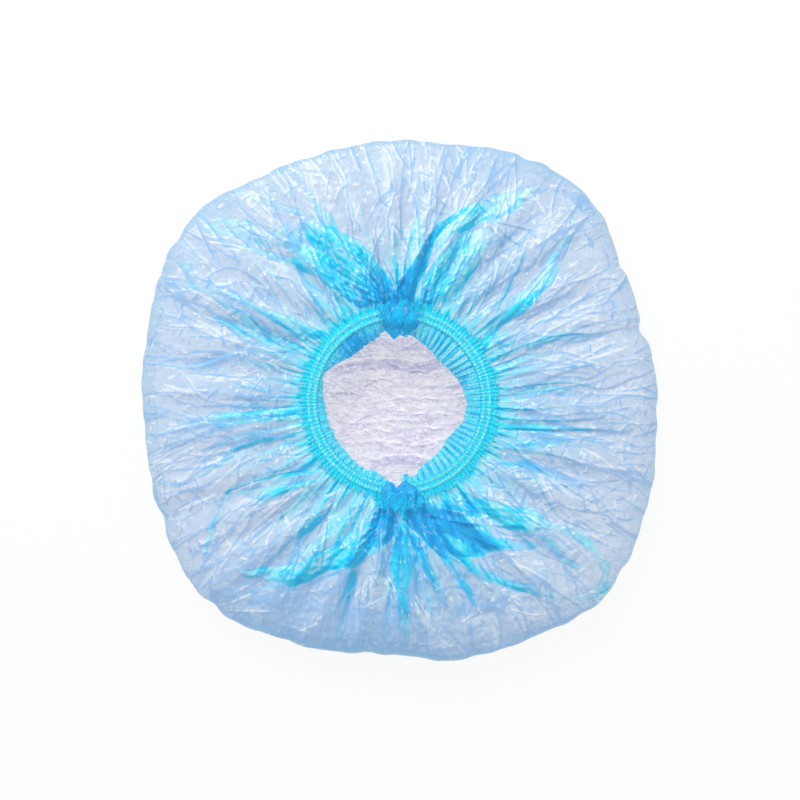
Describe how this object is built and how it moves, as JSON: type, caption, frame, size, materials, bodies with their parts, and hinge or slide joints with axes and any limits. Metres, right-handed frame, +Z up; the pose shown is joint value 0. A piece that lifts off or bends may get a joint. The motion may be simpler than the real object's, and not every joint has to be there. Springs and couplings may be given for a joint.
{
  "type": "disposable shower cap",
  "caption": "Thin tinted film shower cap lying flat with its gathered elastic mouth up: crown film, pleated side films, cased double elastic, frill and end seals.",
  "frame": {"origin": "middle of the cap's outline, on the surface that it lies on", "axes": "+Z up, out of the mouth; +Y to the front end seal; +X to the right side of the mouth"},
  "size_m": [0.2796, 0.2812, 0.0336],
  "materials": {
    "crown_film": "clear thin polyethylene film with a lilac cast and fine wrinkles",
    "side_film": "clear pale blue thin polyethylene film, crinkled and pleated",
    "elastic_casing": "cyan film hem, finely gathered over the elastic",
    "elastic": "pale cyan elastic strand seen through the film",
    "frill": "cyan film ruffle with a cut edge",
    "end_seal": "dense blue bunched and welded film"
  },
  "bodies": {
    "cap_body": {"crown_film": "crown_film", "left_edge_fold": "side_film", "right_edge_fold": "side_film", "left_side_film": "side_film", "right_side_film": "side_film", "front_end_seal": "end_seal", "back_end_seal": "end_seal"},
    "left_mouth": {"left_elastic_casing": "elastic_casing", "left_outer_elastic": "elastic", "left_inner_elastic": "elastic", "left_frill": "frill"},
    "right_mouth": {"right_elastic_casing": "elastic_casing", "right_outer_elastic": "elastic", "right_inner_elastic": "elastic", "right_frill": "frill"}
  },
  "joints": [
    {"name": "left_stretch", "type": "slide", "parent": "cap_body", "child": "left_mouth", "axis": [-1, 0, 0], "range_m": [0, 0.045], "stiffness_N_per_m": 25, "deforming": ["left_side_film"]},
    {"name": "right_stretch", "type": "slide", "parent": "cap_body", "child": "right_mouth", "axis": [1, 0, 0], "range_m": [0, 0.045], "stiffness_N_per_m": 25, "deforming": ["right_side_film"]}
  ],
  "couplings": [
    {"joint": "right_stretch", "follows": "left_stretch", "ratio": 1}
  ]
}
